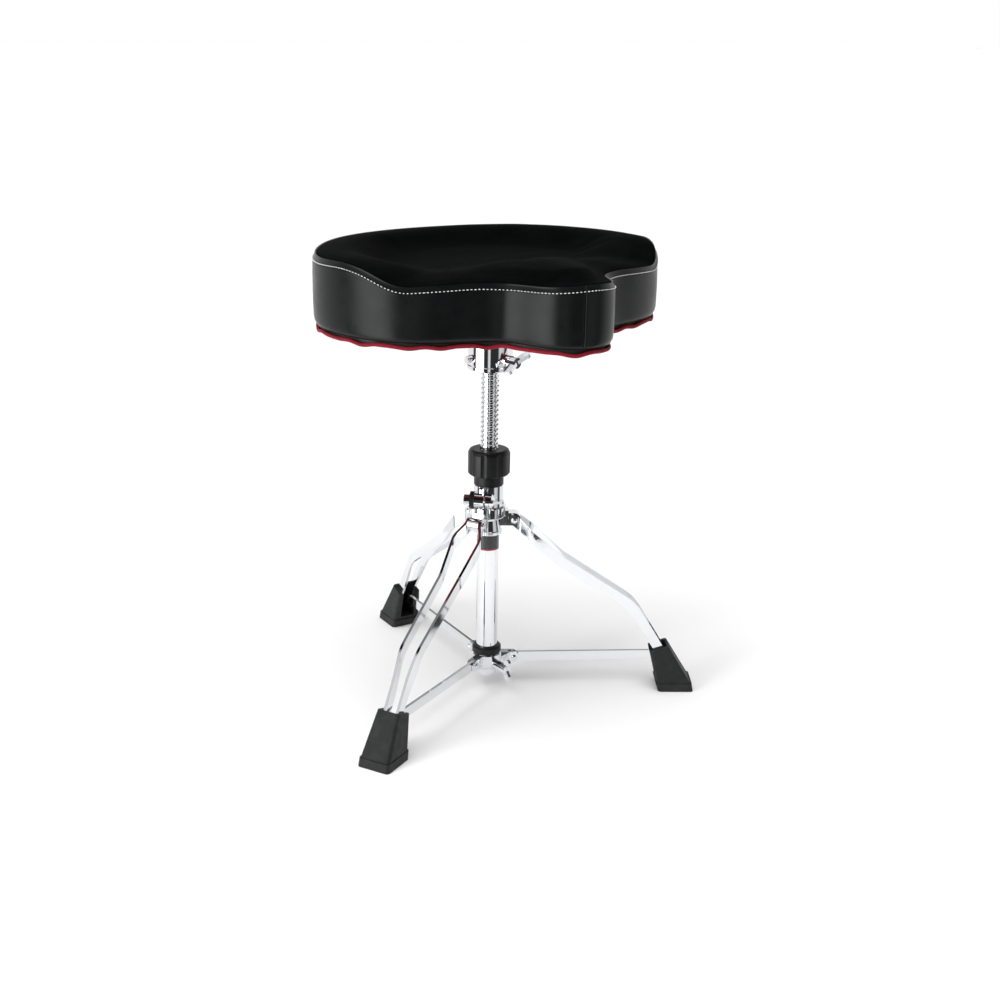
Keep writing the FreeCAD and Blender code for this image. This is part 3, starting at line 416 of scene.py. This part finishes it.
def seat_rows(theta):
    """Rows of points from the rolled lower edge, up the side, over the rim to the middle.

    Returns the rows and the index of the row of the velour's edge."""
    points, inward = outline(theta)
    stitch, edge = level(STITCH_Z, theta), level(EDGE_Z, theta)
    rows = []

    def add(inset, height):
        flat = points + inward * np.broadcast_to(inset, len(theta))[:, None]
        rows.append(np.column_stack([flat, np.broadcast_to(height, len(theta))]))

    for inset, up in ROLL:
        add(inset * MM, BOTTOM + up * MM)
    start = BOTTOM + ROLL[-1][1] * MM
    for share in SIDE:
        add(0.0, start + (stitch - start) * share)
    # drawn in at the stitching, then rolled over to the velour's edge
    add(0.0002, stitch - 1.3 * MM)
    add(0.0006, stitch)
    add(0.0012, stitch + 1.3 * MM)
    add(0.0019, (stitch + edge) / 2)
    add(0.0031, edge - 1.2 * MM)
    add(0.0044, edge)
    for inset, up in INNER:
        add(inset * MM, edge + up * MM)
    rim = rows[-1]
    for share in TOP:
        flat = rim[:, :2] * (1 - share) + CENTRE * share
        deep = np.linalg.norm(flat - rim[:, :2], axis=1)
        blend = smooth(deep, 0.004, 0.088)
        high = rim[:, 2] * (1 - blend) + basin(flat[:, 0], flat[:, 1]) * blend
        rows.append(np.column_stack([flat, high + crest(flat[:, 0], flat[:, 1], deep)]))
    return rows, STITCH_ROW + 4


ROWS, EDGE_ROW = seat_rows(THETA)
COLUMNS = len(THETA)


def object_from(name, verts, faces, material, body, smooth_faces=True):
    """A mesh object; it rides on the body, or on none if body is None."""
    mesh = bpy.data.meshes.new(name)
    mesh.from_pydata([tuple(v) for v in verts], [], faces)
    mesh.validate()
    mesh.polygons.foreach_set("use_smooth", [smooth_faces] * len(mesh.polygons))
    made = bpy.data.objects.new(name, mesh)
    bpy.context.scene.collection.objects.link(made)
    if material:
        mesh.materials.append(material)
    if body:
        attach(made, body)
    return made


def ring_faces(count, rings, closed_rings=False):
    """Quads between rings of count points each."""
    faces = []
    for j in range(rings if closed_rings else rings - 1):
        low, high = j * count, ((j + 1) % rings) * count
        for i in range(count):
            k = (i + 1) % count
            faces.append((low + i, low + k, high + k, high + i))
    return faces


def row_normals(rows):
    """Unit normals of the rows' surface, pointing out of the cushion."""
    grid = np.array(rows)
    round_it = np.roll(grid, -1, 1) - np.roll(grid, 1, 1)
    up_it = np.gradient(grid, axis=0)
    normal = np.cross(round_it, up_it)
    normal /= np.maximum(np.linalg.norm(normal, axis=2, keepdims=True), 1e-12)
    return normal


# ------------------------------------------------------------------ upholstery by cloth simulation
VOXEL = 0.005       # mesh size of the simulated cushion
SLACK = 0.0008      # how far the cover lies inside its form before it is filled
PUFF_CAP = 0.0055   # the furthest that the filling moves the cover
PRESSURE = 4.0
FRAMES = 20
HELD_WITHIN = 0.008  # the seam holds the cover this far on each side
PROBE = 0.012       # height above the form from which its swell is measured


def closed_form(rows):
    """Vertices and faces of the rows, closed at the top and the bottom by a fan each."""
    verts = [p for row in rows for p in row]
    faces = ring_faces(COLUMNS, len(rows))
    middle = len(verts)
    verts.append((*CENTRE, rows[-1][:, 2].mean()))
    last = (len(rows) - 1) * COLUMNS
    faces += [(last + i, last + (i + 1) % COLUMNS, middle) for i in range(COLUMNS)]
    floor = len(verts)
    verts.append((*CENTRE, rows[0][:, 2].mean()))
    faces += [((i + 1) % COLUMNS, i, floor) for i in range(COLUMNS)]
    return verts, faces


def puffed(rows, edge_row):
    """How far the filled cover swells past the rows, along their normals, by cloth simulation."""
    normals = row_normals(rows)
    depth = np.full(len(rows), SLACK)
    depth[:3] = 0.0
    depth[edge_row] = 0.0
    depth[edge_row - 1] = depth[edge_row + 1] = SLACK * 0.5
    shrunk = [row - normal * d for row, normal, d in zip(rows, normals, depth)]
    verts, faces = closed_form(shrunk)
    form = object_from("cushion_form", verts, faces, None, None)
    bpy.context.view_layer.objects.active = form
    remesh = form.modifiers.new("remesh", "REMESH")
    remesh.mode = "VOXEL"
    remesh.voxel_size = VOXEL
    bpy.ops.object.modifier_apply(modifier="remesh")
    points = np.empty(len(form.data.vertices) * 3)
    form.data.vertices.foreach_get("co", points)
    before = points.reshape(-1, 3)
    seam = shrunk[edge_row]
    tree = BVHTree.FromPolygons(
        [tuple(p) for p in seam] + [tuple(p + (0, 0, 1e-4)) for p in seam],
        ring_faces(COLUMNS, 2))
    held = form.vertex_groups.new(name="held")
    for index, point in enumerate(before):
        gap = tree.find_nearest(Vector(point))[3]
        hold = max(1.0 - gap / HELD_WITHIN, 1.0 if point[2] < BOTTOM + 0.004 else 0.0)
        if hold > 0:
            held.add([index], hold, "REPLACE")
    cloth = form.modifiers.new("cloth", "CLOTH")
    cloth.settings.use_pressure = True
    cloth.settings.uniform_pressure_force = PRESSURE
    cloth.settings.vertex_group_mass = "held"
    cloth.settings.effector_weights.gravity = 0.0
    cloth.settings.quality = 5
    cloth.point_cache.frame_start, cloth.point_cache.frame_end = 1, FRAMES
    scene = bpy.context.scene
    for step in range(1, FRAMES + 1):
        scene.frame_set(step)
    bpy.ops.object.modifier_apply(modifier="cloth")
    form.data.vertices.foreach_get("co", points)
    moved = points.reshape(-1, 3) - before
    length = np.linalg.norm(moved, axis=1, keepdims=True)
    moved *= np.minimum(1.0, PUFF_CAP / np.maximum(length, 1e-9))
    form.data.vertices.foreach_set("co", (before + moved).ravel())
    relax = form.modifiers.new("relax", "SMOOTH")
    relax.iterations = 4
    bpy.ops.object.modifier_apply(modifier="relax")
    surface = BVHTree.FromObject(form, bpy.context.evaluated_depsgraph_get())
    scene.frame_set(1)
    bpy.data.objects.remove(form)
    swell = np.zeros((len(rows), COLUMNS))
    for j, (row, normal) in enumerate(zip(rows, normals)):
        for i in range(COLUMNS):
            start = Vector(row[i] + normal[i] * PROBE)
            hit = surface.ray_cast(start, -Vector(normal[i]), 0.03)
            swell[j, i] = PROBE - hit[3] if hit[0] else 0.0
    return np.clip(swell, -0.004, 0.006)


def soften(field, times):
    """Average each value with its neighbours; the first and last rows stay."""
    for _ in range(times):
        sides = (np.roll(field, 1, 1) + np.roll(field, -1, 1)) / 2
        field = (field + sides) / 2
        inner = field.copy()
        inner[1:-1] = (field[1:-1] * 2 + field[:-2] + field[2:]) / 4
        field = inner
    return field


NORMALS = row_normals(ROWS)
SWELL = soften(puffed(ROWS, EDGE_ROW), 3)
# the cover is tight where it is stapled, stitched and joined to the velour
tight = np.ones(len(ROWS))
tight[:3] = 0.0
tight[STITCH_ROW] = 0.35
tight[STITCH_ROW - 1] = tight[STITCH_ROW + 1] = 0.6
tight[EDGE_ROW] = 0.2
tight[EDGE_ROW - 1] = tight[EDGE_ROW + 1] = 0.5
SWELL *= tight[:, None]
SURFACE = np.array(ROWS) + NORMALS * SWELL[:, :, None]


# ------------------------------------------------------------------ vinyl side
def vinyl_side():
    rows = SURFACE[:EDGE_ROW + 1].copy()
    normals = NORMALS[:EDGE_ROW + 1]
    away = np.abs(THETA - SEAM_ANGLE)
    groove = 0.0018 * np.exp(-(away / 0.17) ** 2) - 0.0002 * np.exp(-((away - 0.6) / 0.25) ** 2)
    for j in range(3, EDGE_ROW + 1):
        rows[j] -= normals[j] * groove[:, None]
    rows[STITCH_ROW] -= normals[STITCH_ROW] * 0.00055
    out = list(rows)
    # folded top edge: over and down behind the velour's edge
    fold = rows[-1] + normals[-1] * 0.0007 + (0, 0, 0.0003)
    out.append(fold)
    points, inward = outline(THETA)
    flat = np.column_stack([inward, np.zeros(COLUMNS)])
    out.append(rows[-1] + flat * 0.0012 + (0, 0, 0.0001))
    out.append(rows[-1] + flat * 0.0018 - (0, 0, 0.0030))
    # inner wall of the shell back down to the lower edge
    inner = SURFACE[:EDGE_ROW]
    for j in range(EDGE_ROW - 2, 3, -2):
        out.append(inner[j] + flat * 0.0020)
    out.append(inner[3] + flat * 0.0018 + (0, 0, 0.0012))
    out.append(inner[1] + (0, 0, 0.0012))
    verts = [p for row in out for p in row]
    faces = ring_faces(COLUMNS, len(out), closed_rings=True)
    made = object_from("seat_vinyl_side", verts, faces, VINYL, "seat")
    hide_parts("seat_side_vinyl")
    return made


# ------------------------------------------------------------------ velour top
def velour_top():
    rows = list(SURFACE[EDGE_ROW:])
    _, inward = outline(THETA)
    flat = np.column_stack([inward, np.zeros(COLUMNS)])
    tucked = SURFACE[EDGE_ROW]
    under = tucked + flat * 0.0030
    under[:, 2] = 0.5160
    behind = tucked + flat * 0.0028 - (0, 0, 0.0060)
    lip = tucked + flat * 0.0016 - (0, 0, 0.0008)
    rows[0] = tucked + flat * 0.0022 + (0, 0, 0.0004)
    rows = [under, behind, lip] + rows
    verts, faces = closed_form(rows)
    made = object_from("seat_velour_top", verts, faces, VELOUR, "seat")
    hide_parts("seat_top_cloth", "seat_foam")
    return made


# ------------------------------------------------------------------ stitching
STITCH_LENGTH, STITCH_PITCH, THREAD_R = 0.0024, 0.0046, 0.0005


def bead_verts(start, stop, normal, radius, sides=6):
    """A stitch: a short rounded strand that dives into the cover at both ends."""
    along = (stop - start).normalized()
    across = along.cross(normal).normalized()
    verts = []
    for share, lift, width in ((0.0, -0.9, 0.45), (0.1, 0.0, 0.85), (0.5, 0.55, 1.0),
                               (0.9, 0.0, 0.85), (1.0, -0.9, 0.45)):
        middle = start.lerp(stop, share) + normal * radius * lift
        for k in range(sides):
            turn = 2 * math.pi * k / sides
            verts.append(middle + (across * math.cos(turn) + normal * math.sin(turn))
                         * radius * width)
    return verts


def stitching():
    line = SURFACE[STITCH_ROW]
    normal = NORMALS[STITCH_ROW]
    ring = np.vstack([line, line[:1]])
    reach = np.concatenate([[0], np.cumsum(np.linalg.norm(np.diff(ring, axis=0), axis=1))])
    norm = np.vstack([normal, normal[:1]])
    count = int(reach[-1] / STITCH_PITCH)
    verts, faces = [], []
    sides = 6
    for n in range(count):
        start = reach[-1] * n / count
        ends = [Vector([np.interp(s, reach, ring[:, axis]) for axis in range(3)])
                for s in (start, start + STITCH_LENGTH * (1 + 0.08 * rng.standard_normal()))]
        out = Vector([np.interp(start, reach, norm[:, axis]) for axis in range(3)]).normalized()
        base = len(verts)
        verts += bead_verts(ends[0], ends[1], out, THREAD_R, sides)
        faces += [tuple(base + index for index in face) for face in ring_faces(sides, 5)]
        faces.append(tuple(base + k for k in reversed(range(sides))))
        faces.append(tuple(base + 4 * sides + k for k in range(sides)))
    made = object_from("seat_stitching", verts, faces, THREAD, "seat")
    return made


# ------------------------------------------------------------------ red underside cloth
HEM_INSET, HEM_R, HEM_Z = 0.0060, 0.0023, 0.5066
UNDERSIDE_Z = 0.5026
# depths inside the hem at which the cloth rises from the flat panel to its edge
HEM_DEPTHS = (0.0, 0.003, 0.006, 0.010, 0.018, 0.028, 0.042, 0.06)
HEM_FADE = 0.009


def hem_wave(theta):
    """Uneven waves of the cloth's free edge, in metres, the same on every run."""
    turn = np.radians(theta)
    return 0.0010 * np.sin(26 * turn + 0.8) + 0.0004 * np.sin(41 * turn + 2.1) \
        + 0.0006 * np.sin(15 * turn)


def red_underside():
    theta = np.arange(-180, 180, 0.75)
    count = len(theta)
    points, inward = outline(theta)
    wave = hem_wave(theta)
    rows = []
    edge = points + inward * HEM_INSET
    for deep in HEM_DEPTHS:
        fade = math.exp(-(deep / HEM_FADE) ** 2)
        height = UNDERSIDE_Z + fade * (wave + HEM_Z - UNDERSIDE_Z)
        rows.append(np.column_stack([edge + inward * deep, height]))
    rim = rows[-1]
    for share in (0.25, 0.5, 0.75, 0.95):
        flat = rim[:, :2] * (1 - share) + CENTRE * share
        rows.append(np.column_stack([flat, np.full(count, UNDERSIDE_Z)]))
    verts = [p for row in rows for p in row]
    middle = len(verts)
    verts.append((*CENTRE, UNDERSIDE_Z))
    faces = ring_faces(count, len(rows))
    last = (len(rows) - 1) * count
    faces += [(last + i, last + (i + 1) % count, middle) for i in range(count)]
    made = object_from("seat_red_underside", verts, faces, RED_UNDERSIDE_PAINTED_SHADE, "seat")
    thick = made.modifiers.new("thickness", "SOLIDIFY")
    thick.thickness = 0.0010
    thick.offset = 0.0
    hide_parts("seat_underside_cover")

    verts = []
    sides = 8
    for point, side, height in zip(edge, inward, wave):
        centre = Vector((*point, HEM_Z + height))
        out = Vector((*-side, 0))
        for k in range(sides):
            turn = 2 * math.pi * k / sides
            verts.append(centre + (out * math.cos(turn) + Vector((0, 0, math.sin(turn)))) * HEM_R)
    faces = []
    for i in range(count):
        low, high = i * sides, ((i + 1) % count) * sides
        for k in range(sides):
            m = (k + 1) % sides
            faces.append((low + k, low + m, high + m, high + k))
    hem = object_from("seat_red_hem", verts, faces, HEM_RED, "seat")
    return made


vinyl_side()
velour_top()
stitching()
red_underside()


# ------------------------------------------------------------------ studio
def soft_light(name, place, target, wide, high, power):
    """Rectangular light of the given size in metres, turned to the target."""
    data = bpy.data.lights.new(name, "AREA")
    data.shape = "RECTANGLE"
    data.size, data.size_y = wide, high
    data.energy = power
    lamp = bpy.data.objects.new(name, data)
    bpy.context.scene.collection.objects.link(lamp)
    lamp.location = place
    lamp.rotation_euler = (Vector(target) - Vector(place)).to_track_quat("-Z", "Y").to_euler()
    return lamp


VIEW_TURN = math.radians(-31)


def seen_from(x, y, z):
    """A place given across, along and above the view, turned into the object's frame."""
    turn = Matrix.Rotation(VIEW_TURN, 3, "Z")
    return turn @ Vector((x, y, z))


FLOOR_REACH, FLOOR_Z = 30, -0.0005
floor = object_from("floor", [(x * FLOOR_REACH, y * FLOOR_REACH, FLOOR_Z)
                              for x, y in ((-1, -1), (1, -1), (1, 1), (-1, 1))],
                    [(0, 1, 2, 3)], pale_floor(), None, False)
floor.visible_glossy = False
# a round white sheet under the throne that only shows in reflections
SHEET_R, SHEET_Z = 0.64, -0.0004
turns = [math.radians(a) for a in range(0, 360, 6)]
sheet = object_from("floor_sheet", [(SHEET_R * math.cos(a), SHEET_R * math.sin(a), SHEET_Z)
                                    for a in turns],
                    [tuple(range(len(turns)))], pale_floor(), None, False)
sheet.visible_camera = sheet.visible_shadow = sheet.visible_diffuse = False
# the floor stays under the feet when the legs fold: it keeps the height of one sole's outer edge
sole_edge = bpy.data.objects.new("sole_edge", None)
bpy.context.scene.collection.objects.link(sole_edge)
sole_edge.parent = frame["bodies"]["leg_2"]
sole_edge.matrix_parent_inverse = frame["bodies"]["leg_2"].matrix_world.inverted()
sole_edge.location = (0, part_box("leg_2_foot")[1][1], 0)
for under in (floor, sheet):
    height = under.constraints.new("COPY_LOCATION")
    height.target = sole_edge
    height.use_x = height.use_y = False

# brightness round the studio: (degrees from the front, positive to the right; brightness)
ROUND = [(-180, .95), (-96, .95), (-90, .03), (-80, .03), (-72, 4.5), (-38, 4.5), (-32, .04),
         (-14, .03), (-9, .8), (-2, .8), (2, .03), (40, .03), (48, .7), (70, .6), (78, .06),
         (92, .06), (98, .95), (180, .95)]
# brightness by height: sine of the elevation
UPRIGHT = [(-1.0, .75), (-.62, .75), (-.52, 1.0), (.32, 1.0), (.44, .15), (.85, .15), (1.0, .6)]


def ramp(tree, source, stops, low, high):
    """Colour ramp over a value, from a table of value and brightness."""
    span = tree.nodes.new("ShaderNodeMapRange")
    span.inputs["From Min"].default_value = low
    span.inputs["From Max"].default_value = high
    tree.links.new(source, span.inputs["Value"])
    made = tree.nodes.new("ShaderNodeValToRGB")
    steps = made.color_ramp.elements
    while len(steps) < len(stops):
        steps.new(0.5)
    for step, (where, bright) in zip(steps, stops):
        step.position = (where - low) / (high - low)
        step.color = (bright, bright, bright, 1.0)
    tree.links.new(span.outputs["Result"], made.inputs["Fac"])
    return made.outputs["Color"]


def studio_world():
    world = bpy.data.worlds.new("studio")
    bpy.context.scene.world = world
    world.use_nodes = True
    tree = world.node_tree
    back = tree.nodes["Background"]
    way = tree.nodes.new("ShaderNodeTexCoord").outputs["Generated"]
    turn = tree.nodes.new("ShaderNodeVectorRotate")
    turn.rotation_type = "Z_AXIS"
    turn.inputs["Angle"].default_value = -VIEW_TURN
    tree.links.new(way, turn.inputs["Vector"])
    axes = tree.nodes.new("ShaderNodeSeparateXYZ")
    tree.links.new(turn.outputs["Vector"], axes.inputs["Vector"])
    front = tree.nodes.new("ShaderNodeMath")
    front.operation = "MULTIPLY"
    front.inputs[1].default_value = -1.0
    tree.links.new(axes.outputs["Y"], front.inputs[0])
    angle = tree.nodes.new("ShaderNodeMath")
    angle.operation = "ARCTAN2"
    tree.links.new(axes.outputs["X"], angle.inputs[0])
    tree.links.new(front.outputs[0], angle.inputs[1])
    stops = [(math.radians(where), bright) for where, bright in ROUND]
    sides = ramp(tree, angle.outputs[0], stops, -math.pi, math.pi)
    high = ramp(tree, axes.outputs["Z"], UPRIGHT, -1.0, 1.0)
    light = tree.nodes.new("ShaderNodeMix")
    light.data_type = "RGBA"
    light.blend_type = "MULTIPLY"
    light.inputs["Factor"].default_value = 1.0
    tree.links.new(sides, light.inputs["A"])
    tree.links.new(high, light.inputs["B"])
    # the backdrop that the camera sees is plain white
    eye = tree.nodes.new("ShaderNodeLightPath").outputs["Is Camera Ray"]
    seen = tree.nodes.new("ShaderNodeMix")
    seen.data_type = "RGBA"
    seen.inputs["B"].default_value = (1.0, 1.0, 1.0, 1.0)
    tree.links.new(eye, seen.inputs["Factor"])
    tree.links.new(light.outputs["Result"], seen.inputs["A"])
    tree.links.new(seen.outputs["Result"], back.inputs["Color"])


studio_world()
overhead = bpy.data.lights.new("overhead", "SUN")
overhead.energy = 2.9
overhead.angle = math.radians(70)
lamp = bpy.data.objects.new("overhead", overhead)
lamp.visible_glossy = False
lamp.rotation_euler = (math.radians(12), math.radians(-10), 0)
bpy.context.scene.collection.objects.link(lamp)
soft_light("key", seen_from(-1.7, -1.5, 1.1), (0, 0, 0.45), 0.5, 1.2, 14).visible_glossy = False

EYE = seen_from(0.0, -1.85, 0.883)
PITCH, YAW, ROLL_ANGLE = math.radians(18.453), math.radians(0.468), math.radians(-0.904)
forward = Vector((math.sin(YAW) * math.cos(PITCH), math.cos(YAW) * math.cos(PITCH),
                  -math.sin(PITCH)))
right = Vector((math.cos(YAW), -math.sin(YAW), 0))
up = right.cross(forward)
level_right = math.cos(ROLL_ANGLE) * right - math.sin(ROLL_ANGLE) * up
level_up = math.sin(ROLL_ANGLE) * right + math.cos(ROLL_ANGLE) * up
pose = Matrix((level_right, level_up, -forward)).transposed().to_4x4()
camera_data = bpy.data.cameras.new("camera")
camera_data.sensor_width = 36.0
camera_data.lens = 53.446
camera = bpy.data.objects.new("camera", camera_data)
bpy.context.scene.collection.objects.link(camera)
camera.matrix_world = (Matrix.Translation(EYE) @ Matrix.Rotation(VIEW_TURN, 4, "Z") @ pose)
bpy.context.scene.camera = camera
bpy.context.scene.view_settings.view_transform = "Standard"
